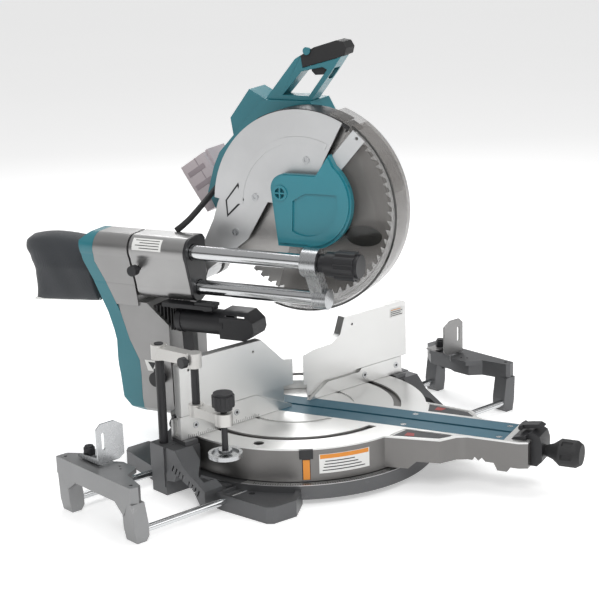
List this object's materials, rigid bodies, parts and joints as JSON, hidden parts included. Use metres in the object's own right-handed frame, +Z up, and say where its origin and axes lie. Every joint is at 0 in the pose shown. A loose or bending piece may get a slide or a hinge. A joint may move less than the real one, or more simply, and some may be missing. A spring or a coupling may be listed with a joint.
{
  "type": "sliding compound mitre saw",
  "caption": "Cordless sliding compound mitre saw with turntable, tall sliding fences, twin-rail carriage, guarded blade, dust bag and pull-out side supports.",
  "frame": {"origin": "on the floor plane under the turntable pivot, at the centre of the base's bolt pattern", "axes": "+X to the right along the fence, +Y to the rear (away from the user), +Z up; the turntable rests turned 22.5 degrees with its grip to the right"},
  "size_m": [0.862, 0.9227, 0.704],
  "materials": {
    "base_grey": "satin",
    "fence_aluminium": "satin",
    "table_aluminium": "satin",
    "steel": "satin",
    "rail_chrome": "polished",
    "arm_grey": "satin",
    "case_silver": "satin",
    "teal_plastic": "semi-gloss",
    "black_plastic": "matte",
    "black_rubber": "matte",
    "smoky_clear": "clear",
    "kerf_plastic": "matte",
    "bag_fabric": "woven",
    "battery_plastic": "matte",
    "scale_metal": "satin",
    "holder_grey": "satin"
  },
  "bodies": {
    "base": {"base_casting": "base_grey", "mitre_scale": "scale_metal", "turntable_pivot_bolt": "steel", "lower_fence": "fence_aluminium", "vise_post": "black_plastic", "vise_arm": "fence_aluminium", "vise_drop_rod": "black_plastic", "vise_lower_arm": "fence_aluminium", "vise_arm_screw": "black_plastic", "vise_pad": "steel"},
    "vise_spindle": {"vise_screw": "black_plastic"},
    "left_fence": {"left_sliding_fence": "fence_aluminium"},
    "right_fence": {"right_sliding_fence": "fence_aluminium"},
    "left_clamp": {"left_fence_clamp": "black_plastic"},
    "right_clamp": {"right_fence_clamp": "black_plastic"},
    "left_support": {"left_holder": "holder_grey", "left_holder_rods": "rail_chrome"},
    "right_support": {"right_holder": "base_grey", "right_holder_rods": "rail_chrome"},
    "left_stop": {"left_stop_plate": "steel", "left_stop_screw": "black_plastic"},
    "right_stop": {"right_stop_plate": "steel", "right_stop_screw": "black_plastic"},
    "table": {"turntable": "table_aluminium", "kerf_boards": "kerf_plastic", "kerf_board_screws": "steel", "mitre_pointer": "black_plastic", "bevel_pivot_pin": "steel", "dust_hood": "black_plastic", "mitre_lever_housing": "black_plastic"},
    "mitre_handle": {"mitre_grip": "black_rubber"},
    "mitre_latch": {"mitre_latch_lever": "black_plastic"},
    "arm": {"arm_casting": "arm_grey", "arm_rear_cover": "teal_plastic", "slide_rails": "rail_chrome", "rail_front_clamp": "fence_aluminium", "dust_duct": "black_rubber", "dust_bag": "bag_fabric"},
    "bevel_knob": {"bevel_lock_knob": "black_plastic"},
    "bevel_stop": {"bevel_stop_knob": "black_plastic"},
    "carriage": {"carriage": "fence_aluminium", "carriage_end_cover": "black_plastic", "linear_bearings": "steel", "depth_stop": "black_plastic", "head_hinge_pin": "steel"},
    "slide_lock": {"slide_lock_screw": "black_plastic"},
    "head": {"cable_guard": "black_rubber", "blade_case": "case_silver", "case_screws": "steel", "case_bracket": "black_plastic", "motor_housing": "teal_plastic", "handle_shell": "teal_plastic", "handle_grip": "black_rubber"},
    "trigger": {"trigger": "black_plastic"},
    "lock_off": {"lock_off_button": "teal_plastic"},
    "battery": {"battery": "battery_plastic"},
    "battery_release": {"battery_button": "battery_plastic"},
    "guard": {"lower_guard": "smoky_clear", "guard_spoke": "steel", "center_cover": "teal_plastic"},
    "blade": {"saw_blade": "steel", "blade_flanges": "steel", "blade_spindle": "steel"}
  },
  "joints": [
    {"name": "mitre", "type": "hinge", "parent": "base", "child": "table", "pos_m": [0, 0, 0.09], "axis": [0, 0, 1], "range_deg": [-82.5, 37.5]},
    {"name": "bevel", "type": "hinge", "parent": "table", "child": "arm", "pos_m": [0, 0, 0.09], "axis": [-0.3827, 0.9239, 0], "range_deg": [-30, 17]},
    {"name": "slide", "type": "slide", "parent": "arm", "child": "carriage", "axis": [0.3827, -0.9239, 0], "range_m": [0, 0.2]},
    {"name": "chop", "type": "hinge", "parent": "carriage", "child": "head", "pos_m": [-0.06888, 0.1663, 0.32], "axis": [0.9239, 0.3827, 0], "range_deg": [0, 51.75], "stiffness_Nm_per_rad": 20, "springref_deg": -91.67, "deforming": ["cable_guard"]},
    {"name": "guard_swing", "type": "hinge", "parent": "head", "child": "guard", "pos_m": [0.00995, -0.02402, 0.4375], "axis": [-0.9239, -0.3827, 0], "range_deg": [0, 116]},
    {"name": "blade_spin", "type": "hinge", "parent": "head", "child": "blade", "pos_m": [0.00995, -0.02402, 0.4375], "axis": [0.9239, 0.3827, 0], "continuous": true},
    {"name": "trigger_pull", "type": "slide", "parent": "head", "child": "trigger", "axis": [-0.1722, 0.4158, 0.893], "range_m": [0, 0.005], "stiffness_N_per_m": 400, "springref_m": -0.002},
    {"name": "lock_off_press", "type": "slide", "parent": "head", "child": "lock_off", "axis": [0.9239, 0.3827, 0], "range_m": [0, 0.002], "stiffness_N_per_m": 400, "springref_m": -0.002},
    {"name": "battery_slide", "type": "slide", "parent": "head", "child": "battery", "axis": [-0.2107, 0.5086, 0.8348], "range_m": [0, 0.08]},
    {"name": "battery_release_press", "type": "slide", "parent": "battery", "child": "battery_release", "axis": [0.3195, -0.7713, 0.5505], "range_m": [0, 0.002], "stiffness_N_per_m": 400, "springref_m": -0.002},
    {"name": "bevel_lock_turn", "type": "hinge", "parent": "arm", "child": "bevel_knob", "pos_m": [-0.0813, -0.03368, 0.366], "axis": [-0.3827, 0.9239, 0], "range_deg": [-90, 90]},
    {"name": "bevel_stop_turn", "type": "hinge", "parent": "arm", "child": "bevel_stop", "pos_m": [-0.15887, 0.17449, 0.138], "axis": [0.9239, 0.3827, 0], "range_deg": [0, 90]},
    {"name": "slide_lock_turn", "type": "hinge", "parent": "carriage", "child": "slide_lock", "pos_m": [-0.19347, 0.17964, 0.334], "axis": [0.9239, 0.3827, 0], "continuous": true},
    {"name": "mitre_grip_turn", "type": "hinge", "parent": "table", "child": "mitre_handle", "pos_m": [0.16838, -0.40651, 0.067], "axis": [-0.3827, 0.9239, 0], "continuous": true},
    {"name": "mitre_latch_press", "type": "hinge", "parent": "table", "child": "mitre_latch", "pos_m": [0.15346, -0.37048, 0.104], "axis": [0.9239, 0.3827, 0], "range_deg": [0, 6], "stiffness_Nm_per_rad": 0.5, "springref_deg": -17.19},
    {"name": "left_fence_slide", "type": "slide", "parent": "base", "child": "left_fence", "axis": [1, 0, 0], "range_m": [-0.06, 0]},
    {"name": "right_fence_slide", "type": "slide", "parent": "base", "child": "right_fence", "axis": [-1, 0, 0], "range_m": [-0.06, 0]},
    {"name": "left_clamp_turn", "type": "hinge", "parent": "base", "child": "left_clamp", "pos_m": [-0.236, 0.033, 0.108], "axis": [0, 1, 0], "range_deg": [-90, 90]},
    {"name": "right_clamp_turn", "type": "hinge", "parent": "base", "child": "right_clamp", "pos_m": [0.236, 0.033, 0.108], "axis": [0, 1, 0], "range_deg": [-90, 90]},
    {"name": "left_support_slide", "type": "slide", "parent": "base", "child": "left_support", "axis": [-1, 0, 0], "range_m": [-0.06, 0.06]},
    {"name": "right_support_slide", "type": "slide", "parent": "base", "child": "right_support", "axis": [1, 0, 0], "range_m": [-0.06, 0.06]},
    {"name": "left_stop_swing", "type": "hinge", "parent": "left_support", "child": "left_stop", "pos_m": [-0.398, 0.044, 0.095], "axis": [0, 0, 1], "range_deg": [-20, 90]},
    {"name": "right_stop_swing", "type": "hinge", "parent": "right_support", "child": "right_stop", "pos_m": [0.398, 0.044, 0.095], "axis": [0, 0, -1], "range_deg": [-20, 90]},
    {"name": "vise_turn", "type": "hinge", "parent": "base", "child": "vise_spindle", "pos_m": [-0.246, -0.107, 0.15], "axis": [0, 0, 1], "continuous": true}
  ],
  "couplings": [
    {"joint": "guard_swing", "follows": "chop", "ratio": 2.2415}
  ]
}
